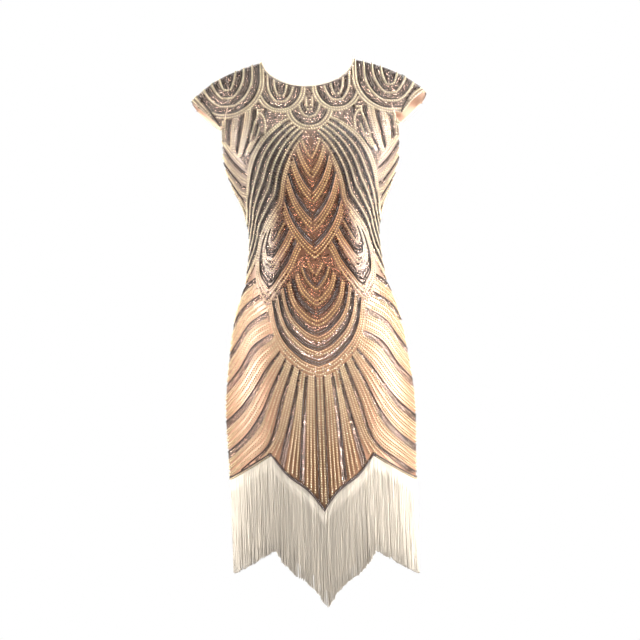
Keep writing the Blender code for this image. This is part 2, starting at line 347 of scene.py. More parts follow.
def make_panel(name, side):
    shares = column_shares(PANEL_COLUMNS)
    places = np.zeros((PANEL_COLUMNS + 1, BODY_ROWS + YOKE_ROWS + 1, 3))
    hem = hem_height(shares)
    for j in range(BODY_ROWS + 1):
        height = hem + (UNDERARM - hem) * j / BODY_ROWS
        places[:, j] = body_places(side, shares, height)
    for j in range(1, YOKE_ROWS + 1):
        turn = math.pi * (j / YOKE_ROWS - 0.5)
        places[:, BODY_ROWS + j] = yoke_places(side, shares, turn)
    pressed = crease_depth(side, places[..., 0], places[..., 2])
    away = np.abs(places[..., 1]) > SEAM_CLEAR
    places[..., 1] -= side * np.where(away, pressed, 0)
    panel = bent_sheet(name, PANEL_COLUMNS, BODY_ROWS + YOKE_ROWS, places, side == BACK)
    print(name, "flat area:", round(sheet_area(panel), 4), "square metres")
    return panel


front_net = make_panel("front_net", FRONT)
back_net = make_panel("back_net", BACK)

# %% [markdown]
# ## The cap sleeves
# A cap sleeve is a crescent of net that stands out over the shoulder. It starts at the armhole of
# both panels and ends in a free edge, which runs from the tip over the shoulder down to the underarm.

# %% The two cap sleeves
SLEEVE_CENTRE = np.array([197 * MM, -96 * MM])
SLEEVE_TIP = np.array([28 * MM, 26 * MM])
BACK_BOW = np.array([4.5 * MM, -4.5 * MM])
SLEEVE_BOW = {
    (LEFT, FRONT): np.array([-3.5 * MM, 7.5 * MM]), (LEFT, BACK): BACK_BOW,
    (RIGHT, FRONT): np.array([2.0 * MM, -1.0 * MM]), (RIGHT, BACK): BACK_BOW,
}
SLEEVE_REACH = {FRONT: 52 * MM, BACK: 56 * MM}
SLEEVE_FULLNESS = 0.7
SLEEVE_RISE = 3.7 * MM
SLEEVE_SEAM = 0.4 * MM
SLEEVE_END = {
    (LEFT, FRONT): math.radians(-45), (RIGHT, FRONT): math.radians(-75),
    (LEFT, BACK): math.radians(-75), (RIGHT, BACK): math.radians(-75),
}
SLEEVE_COLUMNS = 88
SLEEVE_ROWS = 16


def sleeve_edge(hand, side, turn):
    sine, cosine = math.sin(turn), max(math.cos(turn), 0)
    across, height = SLEEVE_CENTRE + SLEEVE_TIP * sine + SLEEVE_BOW[hand, side] * cosine
    return np.array([across, side * SLEEVE_REACH[side] * cosine**SLEEVE_FULLNESS, height])


def armhole(side, turn):
    place = yoke_places(side, np.array([1.0]), turn)[0]
    if turn > math.radians(89.9):
        place[1] = 0
    return place


def sleeve_place(hand, side, turn, out):
    start, edge = armhole(side, turn), sleeve_edge(hand, side, turn)
    way_out = edge - start
    width = np.linalg.norm(way_out)
    start = start + way_out * SLEEVE_SEAM / width
    tip_width = np.linalg.norm(sleeve_edge(hand, side, math.pi / 2) - armhole(side, math.pi / 2))
    bow = (start + edge) / 2 - np.array([SHOULDER_POINT, 0, UNDERARM])
    bow = bow - way_out * bow.dot(way_out) / width**2
    bow = bow / np.linalg.norm(bow)
    place = start + (edge - start) * out + bow * SLEEVE_RISE * width / tip_width * 4 * out * (1 - out)
    return place * (hand, 1, 1)


def make_sleeve(name, hand):
    places = np.zeros((SLEEVE_COLUMNS + 1, SLEEVE_ROWS + 1, 3))
    for i in range(SLEEVE_COLUMNS + 1):
        around = 2 * i / SLEEVE_COLUMNS - 1
        side = FRONT if around <= 0 else BACK
        turn = math.pi / 2 + (SLEEVE_END[hand, side] - math.pi / 2) * abs(around)
        for j in range(SLEEVE_ROWS + 1):
            places[i, j] = sleeve_place(hand, side, turn, j / SLEEVE_ROWS)
    sleeve = bent_sheet(name, SLEEVE_COLUMNS, SLEEVE_ROWS, places, hand == LEFT)
    print(name, "flat area:", round(sheet_area(sleeve), 4), "square metres")
    return sleeve


left_sleeve_net = make_sleeve("cap_sleeve_net_left", LEFT)
right_sleeve_net = make_sleeve("cap_sleeve_net_right", RIGHT)

# %% [markdown]
# ## Finding the cloth under a bead
# Every bead is sewn to the net, so its place and its tilt come from the net itself. A search tree of
# the sheets answers two questions quickly: what does a straight look from in front or from behind
# meet, and which way does the cloth face there.

# %% Search tree
def tree_of(*pieces):
    corners, faces = [], []
    for piece in pieces:
        start = len(corners)
        corners += [vertex.co.copy() for vertex in piece.data.vertices]
        faces += [[start + k for k in polygon.vertices] for polygon in piece.data.polygons]
    return BVHTree.FromPolygons(corners, faces)


cloth_tree = tree_of(front_net, back_net, left_sleeve_net, right_sleeve_net)

# %% [markdown]
# ## The beading design
# A bead embroiderer draws the design once, as a few outlines, and fills each motif with rows that
# follow the outline: nested scallops and chevrons in the middle, fans on the shoulders, and long rays
# on the skirt. So each motif here has an outer and an inner guide line, of a few points in
# centimetres from the middle of the front (across, height), and its rows lie between the two. SEAM
# stands for the side seam. The order of the motifs says which one lies on top where two overlap.

# %% Lines and arcs to draw motifs with
SEAM = 99.0
GUIDE_POINTS = 220


def arc(centre, radius, start, end, count=13):
    turns = np.radians(np.linspace(start, end, count))
    return [(centre[0] + radius * math.cos(t), centre[1] + radius * math.sin(t)) for t in turns]


def arch(centre, radius, top):
    """A U: a half circle below with straight sides that run up to the top."""
    x, z = centre
    return [(x - radius, top), *arc(centre, radius, 180, 360), (x + radius, top)]


def guide(points):
    """A soft curve through the points, in metres, with evenly spaced places."""
    line = np.array([(at_height("half_width", z * CM) / CM if x == SEAM else x, z) for x, z in points])
    line = np.vstack([2 * line[0] - line[1], line, 2 * line[-1] - line[-2]]) * CM
    t = np.linspace(0, 1, 24, endpoint=False)[:, None]
    spans = [
        0.5 * (2 * b + (c - a) * t + (2 * a - 5 * b + 4 * c - d) * t**2 + (3 * b - a - 3 * c + d) * t**3)
        for a, b, c, d in zip(line, line[1:], line[2:], line[3:])
    ]
    curve = np.vstack([*spans, line[-2:-1]])
    run = run_along(curve)
    return spots_at(np.linspace(0, run[-1], GUIDE_POINTS), run, curve)


# %% The motifs of the bodice
SHOULDER_FAN = (15.5, -3.9)
NECK_FAN = (5.3, -5.9)
THROAT_FAN = (0, -9.6)
LENS_EDGE = ((0.0, -14.2), (2.8, -18.2), (4.6, -23.0), (5.5, -29.0))
LENS_OUTER = ((0, -38.5), (1.5, -37.1), (3.0, -35.2), (4.5, -32.7), (5.6, -29.6), (6.6, -25.4))
LENS_INNER = ((0, -17.4), (0.3, -16.8), (0.6, -16.2), (0.8, -15.6), (1.1, -14.9), (1.5, -13.8))
LEAF_OUTER = (
    (6.9, -29.4), (9.5, -33.2), (10.9, -37.6), (11.3, -41.5), (10.7, -44.4),
    (9.2, -46.5), (6.8, -43.7), (4.6, -40.6), (3.1, -37.4), (1.2, -34.5),
)
LEAF_INNER = (
    (6.6, -29.8), (7.2, -31.0), (7.7, -32.2), (8.0, -33.2), (8.1, -34.0),
    (7.9, -34.6), (7.4, -33.6), (6.9, -32.6), (6.2, -31.2), (4.6, -28.4),
)
SCALLOP_OUTER = ((0, -60.4), (2.2, -59.6), (4.0, -58.4), (6.9, -55.3), (8.5, -51.6), (9.2, -46.8))
SCALLOP_INNER = ((0, -41.0), (0.2, -40.6), (0.5, -40.1), (0.8, -39.6), (1.0, -39.2), (1.3, -38.6))
CHEST_OUTER = (
    (2.6, -11.6), (4.8, -11.9), (8.1, -14.2), (10.4, -16.9), (11.9, -20.4),
    (12.5, -26.0), (12.7, -30.0), (SEAM, -33.5),
)
CHEST_INNER = (
    (0.0, -14.2), (3.0, -18.2), (4.9, -23.0), (5.7, -27.6), (6.9, -29.4),
    (9.5, -33.2), (10.9, -37.6), (SEAM, -42.5),
)
ARCH_OUTER = (
    (8.2, -14.4), (8.1, -12.2), (8.5, -10.8), (9.4, -9.9), (10.0, -11.0), (10.8, -13.0), (11.6, -15.8),
)
ARCH_INNER = (
    (9.6, -14.6), (9.5, -13.4), (9.5, -12.6), (9.5, -12.0), (9.6, -12.6), (9.8, -13.6), (10.2, -15.0),
)
STRIPES_INNER = ((8.0, -9.6), (8.2, -11.6), (8.7, -13.6), (9.6, -15.6), (11.4, -18.2))
STRIPES_OUTER = ((16.4, -9.6), (16.7, -11.6), (16.9, -13.6), (16.9, -15.6), (16.4, -18.6))
STRIPES_COVER = ((7.5, -9), (18, -9), (SEAM, -14.0), (15.0, -16.6), (11.4, -20.6), (9, -15))
VEINS_TOP = ((SEAM, -14.0), (15.0, -16.6), (11.4, -20.6))
VEINS_END = ((SEAM, -29.0), (14.2, -30.4), (11.8, -33.4))
VEINS_COVER = (
    (19.5, -13.0), (17.0, -14.6), (15.0, -16.6), (12.4, -20.4), (12.2, -27.0), (11.8, -33.4),
    (14.2, -30.4), (16.4, -29.0), (19.5, -28.0),
)

# %% The rays of the skirt
RAYS = (
    ((11.0, -41.0), (13.2, -42.6), (SEAM, -44.5)),
    ((9.0, -47.4), (12.6, -49.7), (14.8, -52.6), (SEAM, -55.7)),
    ((8.4, -51.6), (12.2, -54.0), (14.8, -58.0), (SEAM, -61.5)),
    ((7.2, -55.2), (9.9, -58.4), (12.3, -62.0), (14.9, -65.4), (SEAM, -68.4)),
    ((6.2, -56.6), (8.9, -61.8), (11.2, -66.6), (14.2, -70.8), (SEAM, -74.2)),
    ((5.0, -57.8), (7.5, -64.8), (9.3, -71.1), (11.0, -73.8), (14.2, -76.4), (SEAM, -79.4)),
    ((3.7, -58.8), (5.4, -66.0), (7.4, -73.0), (9.0, -79.0)),
    ((2.6, -59.6), (3.4, -66.0), (4.2, -76.0), (5.0, -86.0)),
    ((0.9, -60.2), (0.95, -70.0), (1.0, -80.0), (1.1, -90.0)),
    ((0.0, -60.4), (0.0, -70.0), (0.0, -80.0), (0.0, -90.0)),
)

# %% [markdown]
# ## Recipes for the rows
# A recipe reads like a beader's card: one letter for each row, from the outer guide to the inner one.
# b is a row of cream beads, d one of dark bugles, t one of thin tan bugles, s one of sequins, and g is
# bare net. The letters' widths are squeezed or spread to fill the motif, as a beader does by eye.

# %% The recipe of each motif
ROW_WIDTH = {"b": 4.6, "d": 2.8, "t": 2.4, "s": 4.0, "g": 3.2}


def motif(outer, inner, recipe, cover=None, level=False):
    """Cover is the motif's own outline, and level says that its rows are shared out round the body."""
    if cover is None:
        cover = [*outer, *reversed(inner)]
    return {
        "outer": guide(outer), "inner": guide(inner), "recipe": recipe,
        "cover": guide([*cover, cover[0]]) if cover else None, "level": level,
    }


MOTIFS = [
    motif(arch(SHOULDER_FAN, 7.2, 1.5), arch(SHOULDER_FAN, 0.25, 1.5), "bbdssb" + "dssb" * 2 + "dss"),
    motif(arch(NECK_FAN, 4.75, -0.5), arch(NECK_FAN, 0.3, -0.5), "bbdssbdsbds"),
    motif(arch(THROAT_FAN, 4.6, -6.0), arch(THROAT_FAN, 0.3, -7.5), "bbdssbdsb"),
    motif(LENS_OUTER, LENS_INNER, "bbtddssbbtddssbbtdssbbssbss",
          [*LENS_OUTER[:-1], *reversed(LENS_EDGE[:-1])]),
    motif(LEAF_OUTER, LEAF_INNER, "bbtddsbbtddsbd", [*LEAF_OUTER, (2.0, -36.5), (5.0, -28.0)]),
    motif(SCALLOP_OUTER, SCALLOP_INNER, "bb" + "tddsb" * 3 + "bsddsbbssbdssb",
          [*SCALLOP_OUTER, (3.1, -38.0), (0, -38.9)]),
    motif(CHEST_OUTER, CHEST_INNER, "bb" + "ddsb" * 5 + "b"),
    motif(ARCH_OUTER, ARCH_INNER, "bsd"),
    motif(STRIPES_OUTER, STRIPES_INNER, "bbsdst" * 3 + "bbsd", STRIPES_COVER),
    motif(VEINS_TOP, VEINS_END, "bbgdsg" * 5, VEINS_COVER, level=True),
]
FULL_MOTIFS = MOTIFS[3:7]  # the ones whose gaps are closed with sequins
VEINS = MOTIFS[9]
GROUPS = (2, 1, 1, 1, 1, 1, 1, 1, 1)
for above, below, groups in zip(RAYS, RAYS[1:], GROUPS):
    recipe = "dsssbbgbbgbbg" if below in RAYS[:6] else "dssgbgbgbg" if below is not RAYS[-1] else "db"
    MOTIFS.append(motif(above, below, recipe * groups, cover=(), level=True))
row_count = sum(len(m["recipe"].replace("g", "")) for m in MOTIFS)
print(len(MOTIFS), "motifs,", row_count, "rows on each quarter of the dress")

# %% Which motif owns a place
def inside(cover, across, height):
    """Whether each place lies inside a closed outline."""
    found = np.zeros(len(across), bool)
    for (x0, z0), (x1, z1) in zip(cover, np.roll(cover, -1, axis=0)):
        crosses = (z0 > height) != (z1 > height)
        if crosses.any():
            reach = x0 + (height - z0) / (z1 - z0 if z1 != z0 else 1) * (x1 - x0)
            found ^= crosses & (across < reach)
    return found


def owned(index, across, height):
    """Whether the motif at this index shows at each place, with no earlier motif on top of it."""
    shown = np.ones(len(across), bool)
    if MOTIFS[index]["cover"] is not None:
        shown = inside(MOTIFS[index]["cover"], across, height)
    for above in MOTIFS[:index]:
        if above["cover"] is not None:
            shown &= ~inside(above["cover"], across, height)
    return shown


# %% [markdown]
# ## Sewing the rows on
# Each row is walked in steps of one bead. A step is kept where its motif shows and where there is
# still room beside the beads that are already on, so seed beads go first, then bugles, then sequins.
# Where rows run together the later one simply stops, which is what a beader does too.

# %% The stitches
STITCH = {  # pitch along the row, room it needs, and height above the net, in millimetres
    "b": (4.7, 1.9, 1.1),
    "d": (6.3, 1.15, 1.0),
    "t": (5.6, 0.9, 0.7),
    "s": (3.6, 1.6, 0.7),
}
LONG = "dt"
BUGLE_ENDS = (-0.32, 0, 0.32)
SEQUIN_OVERLAP = 0.62
BEAD_OVERLAP = 0.9
CELL = 4 * MM
HEM_MARGIN = 7.0 * MM
YOKE_FROM = -124 * MM
taken = {}
stitches = {letter: [] for letter in STITCH}


def has_room(place, letter, room):
    """Whether a new bead fits beside those already sewn on."""
    key = tuple(int(c // CELL) for c in place)
    for dx in (-1, 0, 1):
        for dy in (-1, 0, 1):
            for dz in (-1, 0, 1):
                near = taken.get((key[0] + dx, key[1] + dy, key[2] + dz), ())
                for other, other_letter, other_room in near:
                    share = SEQUIN_OVERLAP if letter == other_letter == "s" else BEAD_OVERLAP
                    if (other - place).length < (room + other_room) * share:
                        return False
    return True


def take(place, letter, room):
    key = tuple(int(c // CELL) for c in place)
    taken.setdefault(key, []).append((place.copy(), letter, room))


def on_cloth(side, across, height):
    """The place and the outward direction of the cloth at a place seen from in front, or None."""
    if height > YOKE_FROM:
        start = Vector((across, side * 0.5, height))
        place, normal, _, _ = cloth_tree.ray_cast(start, Vector((0, -side, 0)))
        if place is None or place.y * side < -SEAM_CLEAR:
            return None
        return place, (normal if normal.y * side > 0 else -normal)
    share = share_of(np.array([across]), np.array([height]))
    flat = body_places(side, share, np.array([height]))[0]
    place, normal, _, _ = cloth_tree.find_nearest(Vector(flat))
    return place, facing(normal, Vector((flat[0], flat[1], 0)))


def sew_at(letter, place, normal, ahead):
    """Sews one bead at a place on the cloth, with its length towards the next place of its row."""
    pitch, room, lift = (value * MM for value in STITCH[letter])
    run = ahead - place
    run = run - normal * run.dot(normal)
    run = run.normalized() if run.length > 1e-5 else normal.orthogonal().normalized()
    ends = BUGLE_ENDS if letter in LONG else (0,)
    if not all(has_room(place + run * pitch * end, letter, room) for end in ends):
        return
    for end in ends:
        take(place + run * pitch * end, letter, room)
    stitches[letter].append((*(place + normal * lift), *normal, *run))


def sew(letter, side, spots, along):
    """Sews one row: spots are across and height, and along is the row's run at each spot."""
    for (across, height), (ahead_x, ahead_z) in zip(spots, along):
        here = on_cloth(side, across, height)
        if here is None:
            continue
        ahead = on_cloth(side, across + ahead_x * 2 * MM, height + ahead_z * 2 * MM)
        sew_at(letter, *here, ahead[0] if ahead else here[0] + Vector((MM, 0, 0)))


# %% [markdown]
# ## The edges
# The cap sleeves end in a double line of cream beads beside one of dark bugles. The pointed hem has a
# line of dark bugles all along, and cream beads under it at the sides but not on the tongue in the
# middle. These rows follow an edge and not a motif, and they are sewn before all the others.

# %% Rows along the sleeve edges and the hem
FACES_UP_FROM = -0.12
FOOT_GAP = 0.08  # in radians, so that the edge rows stop short of a sleeve's two ends


def sew_path(letter, places):
    """Sews a row along a path of places near the cloth."""
    places = np.array(places)
    pitch = STITCH[letter][0] * MM
    run = run_along(places)
    at = np.arange(pitch / 2, run[-1], pitch)
    for spot, ahead in zip(spots_at(at, run, places), spots_at(at + pitch / 2, run, places)):
        place, normal, _, _ = cloth_tree.find_nearest(Vector(spot))
        outward = Vector((spot[0], spot[1], max(spot[2] - FACES_UP_FROM, 0) * 2))
        sew_at(letter, place, facing(normal, outward), Vector(ahead))


EDGE_ROWS = (("b", 0.955), ("b", 0.875), ("d", 0.79))
for hand in (LEFT, RIGHT):
    for letter, out in EDGE_ROWS:
        path = []
        for side, from_foot in ((FRONT, 1), (BACK, -1)):
            turns = np.linspace(SLEEVE_END[hand, side] + FOOT_GAP, math.pi / 2, 90)[::from_foot]
            path += [sleeve_place(hand, side, turn, out) for turn in turns]
        sew_path(letter, path)

hem_shares = np.linspace(-1, 1, 401)
TONGUE_SHARE = 0.345
HEM_DARK_ROW = 5.2 * MM
HEM_EDGE_ROW = 1.6 * MM
for side in (FRONT, BACK):
    hem = hem_height(hem_shares)
    sew_path("d", body_places(side, hem_shares, hem + HEM_DARK_ROW))
    for stretch in (hem_shares < -TONGUE_SHARE, hem_shares > TONGUE_SHARE):
        sew_path("b", body_places(side, hem_shares, hem + HEM_EDGE_ROW)[stretch])

# %% Walk every row
def row_line(m, part):
    """The places of the row that lies at this part of the way from the outer to the inner guide."""
    outer, inner = m["outer"], m["inner"]
    if not m["level"]:
        return outer + (inner - outer) * part
    shares = [share_of(line[:, 0], line[:, 1]) for line in (outer, inner)]
    share = shares[0] + (shares[1] - shares[0]) * part
    height = outer[:, 1] + (inner[:, 1] - outer[:, 1]) * part
    return np.stack([across_of(share, height), height], axis=-1)


def row_spots(line, pitch):
    """Spots one pitch apart on the cloth, with the row's direction at each."""
    depth = depth_of(FRONT, line[:, 0], np.minimum(line[:, 1], 0))
    run = run_along(np.column_stack([line, depth]))
    at = np.arange(pitch / 2, run[-1], pitch)
    spots = spots_at(at, run, line)
    along = spots_at(at + pitch / 2, run, line) - spots
    return spots, along / np.maximum(np.linalg.norm(along, axis=1), 1e-9)[:, None]


rows = []
for index, m in enumerate(MOTIFS):
    widths = np.array([ROW_WIDTH[letter] for letter in m["recipe"]])
    middles = (np.cumsum(widths) - widths / 2) / widths.sum()
    rows += [(letter, index, part) for letter, part in zip(m["recipe"], middles) if letter != "g"]
rows.sort(key=lambda row: ("bdts".index(row[0]), row[1], row[2]))
for letter, index, part in rows:
    spots, along = row_spots(row_line(MOTIFS[index], part), STITCH[letter][0] * MM)
    keep = owned(index, spots[:, 0], spots[:, 1]) & (spots[:, 0] > -0.5 * MM)
    share = share_of(spots[:, 0], spots[:, 1])
    for hand in (LEFT, RIGHT):
        clear = keep & (spots[:, 1] > hem_height(share * hand) + HEM_MARGIN)
        for side in (FRONT, BACK):
            sew(letter, side, spots[clear] * (hand, 1), along[clear] * (hand, 1))
print({letter: len(found) for letter, found in stitches.items()}, "beads, bugles and sequins in rows")

# %% Close the gaps of the bodice with loose sequins
FILL_ROW = 3.2 * MM
FILL_ACROSS = 62
FILL_FROM = -0.335
FILL_HEIGHTS = np.arange(-0.60, -0.02, FILL_ROW)
for side in (FRONT, BACK):
    for height in FILL_HEIGHTS:
        share = (np.arange(FILL_ACROSS) + rng.uniform(0, 1, FILL_ACROSS)) / FILL_ACROSS
        heights = height + rng.uniform(-0.5, 0.5, FILL_ACROSS) * FILL_ROW
        across = across_of(share, heights)
        keep = (heights > FILL_FROM) & ~inside(VEINS["cover"], across, heights)
        for m in FULL_MOTIFS:
            keep |= inside(m["cover"], across, heights)
        spots = np.column_stack([across, heights])[keep]
        along = np.tile((0.0, -1.0), (len(spots), 1))
        for hand in (LEFT, RIGHT):
            sew("s", side, spots * (hand, 1), along)
print({letter: len(found) for letter, found in stitches.items()}, "after the edges and the gaps")

# %% [markdown]
# ## Bead shapes
# A seed bead is a short fat ring, a bugle a cut glass tube, and a sequin a thin cupped disc. Here a
# small ball, a five-sided rod and a flattened ball stand for them, with few faces each, because there
# are tens of thousands. Each shape is made once and then copied to all its places in one joined mesh,
# which is what an array modifier does, with the place and the turn of each copy chosen freely.

# %% The three shapes
SEED_RADIUS = 1.7 * MM
BUGLE_SIZES = {"d": (1.35 * MM, 6.1 * MM), "t": (0.8 * MM, 5.4 * MM)}
SEQUIN_RADIUS = 2.25 * MM
SEQUIN_CUP = 0.13


def shape_of(mesh):
    """The corners and faces of a finished shape."""
    bmesh.ops.recalc_face_normals(mesh, faces=mesh.faces)
    corners = np.array([vertex.co for vertex in mesh.verts])
    faces = [[vertex.index for vertex in face.verts] for face in mesh.faces]
    mesh.free()
    return corners, faces


def bead_shape(letter):
    mesh = bmesh.new()
    if letter == "b":
        bmesh.ops.create_uvsphere(mesh, u_segments=6, v_segments=3, radius=SEED_RADIUS)
    elif letter == "s":
        bmesh.ops.create_uvsphere(mesh, u_segments=6, v_segments=2, radius=SEQUIN_RADIUS)
        bmesh.ops.scale(mesh, vec=(1, 1, SEQUIN_CUP), verts=mesh.verts)
    else:
        radius, length = BUGLE_SIZES[letter]
        bmesh.ops.create_cone(mesh, cap_ends=True, segments=5, radius1=radius, radius2=radius, depth=length)
        bmesh.ops.rotate(mesh, matrix=Matrix.Rotation(math.pi / 2, 3, "Y"), verts=mesh.verts)
    return shape_of(mesh)


# %% Joined copies
def joined(name, shape, places):
    """One mesh of copies of the shape: places is an array of copies by corners by 3."""
    corners, faces = shape
    count = len(places)
    sizes = np.array([len(face) for face in faces])
    loops = np.concatenate(faces)
    steps = np.arange(count)[:, None] * len(corners)
    data = bpy.data.meshes.new(name)
    data.vertices.add(count * len(corners))
    data.vertices.foreach_set("co", places.reshape(-1).astype(np.float32))
    data.loops.add(count * len(loops))
    data.loops.foreach_set("vertex_index", (loops[None] + steps).reshape(-1).astype(np.int32))
    data.polygons.add(count * len(faces))
    starts = np.concatenate([[0], np.cumsum(np.tile(sizes, count))[:-1]])
    data.polygons.foreach_set("loop_start", starts.astype(np.int32))
    tint = data.attributes.new("tint", "FLOAT", "POINT")
    tint.data.foreach_set("value", np.repeat(rng.uniform(0, 1, count), len(corners)).astype(np.float32))
    data.update(calc_edges=True)
    data.validate()
    print(name, count, "copies,", int((sizes - 2).sum()) * count, "triangles")
    return set_out(name, data)


SEQUIN_LEAN = 0.1
SEQUIN_SCATTER = 0.14
SIZE_SCATTER = 0.05


def sewn_piece(name, letter, side):
    """All the beads of one kind on the front or on the back."""
    found = np.array([stitch for stitch in stitches[letter] if (stitch[1] > 0) == (side == BACK)])
    place, normal, run = found[:, 0:3], found[:, 3:6], found[:, 6:9]
    if letter == "s":
        cross = np.cross(normal, run)
        lean = SEQUIN_LEAN + rng.normal(0, SEQUIN_SCATTER, (len(found), 1))
        normal = normal + run * lean + cross * rng.normal(0, SEQUIN_SCATTER, (len(found), 1))
        normal = unit(normal)
        run = unit(run - normal * (run * normal).sum(axis=1)[:, None])
    cross = np.cross(normal, run)
    shape = bead_shape(letter)
    spread = shape[0][None] * (1 + rng.normal(0, SIZE_SCATTER, (len(found), 1, 1)))
    spots = (
        place[:, None] + spread[..., 0:1] * run[:, None]
        + spread[..., 1:2] * cross[:, None] + spread[..., 2:3] * normal[:, None]
    )
    piece = joined(name, shape, spots)
    if letter == "b":
        piece.data.shade_smooth()
    return piece


def sewn_pair(name, letter):
    return {side: sewn_piece(name + word, letter, side) for side, word in SIDES}


seed_beads = sewn_pair("seed_beads_", "b")
bugles = sewn_pair("bugle_beads_", "d")
tan_bugles = sewn_pair("tan_bugles_", "t")
sequins = sewn_pair("sequins_", "s")

# %% [markdown]
# ## The neck binding and its picot
# The binding is a narrow bias strip rolled over the raw edge, so a thin round tube along the neckline
# stands for it. A curve with a bevel makes the tube, and is then made a mesh. The picot is a line of
# seed beads on the tube, every other one a little higher.

# %% Binding
BINDING_RADIUS = 1.5 * MM
BINDING_IN = 1.4 * MM
BINDING_UP = 1.5 * MM


def neck_ring(count):
    """Places along the tube's middle, once round the neck."""
    places = []
    for side in (FRONT, BACK):
        share = np.linspace(-NECK_SHARE, NECK_SHARE, count)[:-1] * -side
        spots = yoke_places(side, share, math.pi / 2)
        spots[0, 1] = 0
        outward = unit(spots * (1, 1, 0))
        places.append(spots - outward * BINDING_IN + (0, 0, BINDING_UP))
    return np.vstack(places)


def tube(name, places, radius, sides, cyclic):
    line = bpy.data.curves.new(name + "_line", "CURVE")
    line.dimensions = "3D"
    line.bevel_depth = radius
    line.bevel_resolution = sides
    spline = line.splines.new("POLY")
    spline.points.add(len(places) - 1)
    spline.use_cyclic_u = cyclic
    for point, place in zip(spline.points, places):
        point.co = (*place, 1)
    holder = bpy.data.objects.new(name + "_line", line)
    data = bpy.data.meshes.new_from_object(holder)
    data.name = name
    bpy.data.objects.remove(holder)
    data.shade_smooth()
    return set_out(name, data)


neck_line = neck_ring(90)
binding = tube("neck_binding_tube", neck_line, BINDING_RADIUS, 3, True)

# %% Picot beads
PICOT_PITCH = 2.8 * MM
PICOT_LOW, PICOT_HIGH = 0.4 * MM, 1.5 * MM
PICOT_SIZE = 0.72


def make_picot():
    ring = np.vstack([neck_line, neck_line[:1]])
    run = run_along(ring)
    spots = spots_at(np.arange(0, run[-1] - PICOT_PITCH / 2, PICOT_PITCH), run, ring)
    spots[:, 2] += BINDING_RADIUS + np.where(np.arange(len(spots)) % 2, PICOT_HIGH, PICOT_LOW)
    shape = bead_shape("b")
    return joined("neck_picot_beads", shape, spots[:, None] + shape[0][None] * PICOT_SIZE)


picot = make_picot()
picot.data.shade_smooth()

# %% [markdown]
# ## The hem band
# Under the beads of the hem lies a narrow tape that also holds the fringe. It is the same surface as
# the panel, a few millimetres high, moved out by a hair.

# %% Hem tapes
TAPE_HEIGHT = 5 * MM
TAPE_OUT = 0.6 * MM
TAPE_THICKNESS = 0.5 * MM


def make_tape(name, side):
    shares = column_shares(PANEL_COLUMNS * 2)
    places = np.zeros((len(shares), 3, 3))
    for j in range(3):
        spots = body_places(side, shares, hem_height(shares) + TAPE_HEIGHT * j / 2)
        for i, spot in enumerate(spots):
            place, normal, _, _ = cloth_tree.find_nearest(Vector(spot))
            places[i, j] = place + facing(normal, Vector((spot[0], spot[1], 0))) * TAPE_OUT
    tape = bent_sheet(name, len(shares) - 1, 2, places, side == BACK)
    give_wall(tape, TAPE_THICKNESS)
    return tape


tapes = {side: make_tape("hem_tape_" + word, side) for side, word in SIDES}

# %% [markdown]
# ## The fringe
# Chainette fringe is hundreds of fine knitted yarns that hang from the hem tape. Each yarn is one
# slim tube, made once as a circle extruded down in steps, and copied along the hem in a few layers.
# Neighbouring yarns lean together in locks, and no two are quite the same length.

# %% Fringe yarns
FRINGE_LENGTH = 179 * MM
YARN_RADIUS = 0.72 * MM
YARN_RINGS = 7
YARN_SIDES = 4
LAYERS = (0.2, -1.0, -2.2)
YARN_PITCH = 1.55 * MM
YARN_UNEVEN = 2.2  # how far the lengths differ, in millimetres
SHORT_SHARE, SHORT_BY = 0.04, (4, 14)  # a few yarns are shorter by this many millimetres
LOCKS = ((1, 251, 0), (0.8, 113, 1.3), (0.6, 523, 0.4))  # size, waves per metre, start
LOCK_LEAN, OWN_LEAN, OWN_SWAY = 0.9, 0.7, 0.35  # in millimetres


def yarn_shape():
    """A yarn of length one that hangs down from its root."""
    mesh = bmesh.new()
    ring = bmesh.ops.create_circle(mesh, cap_ends=True, segments=YARN_SIDES, radius=YARN_RADIUS)["verts"]
    face = mesh.faces[:]
    for _ in range(YARN_RINGS - 1):
        grown = bmesh.ops.extrude_face_region(mesh, geom=face)["geom"]
        ring = [item for item in grown if isinstance(item, bmesh.types.BMVert)]
        face = [item for item in grown if isinstance(item, bmesh.types.BMFace)]
        bmesh.ops.translate(mesh, vec=(0, 0, -1 / (YARN_RINGS - 1)), verts=ring)
    return shape_of(mesh)


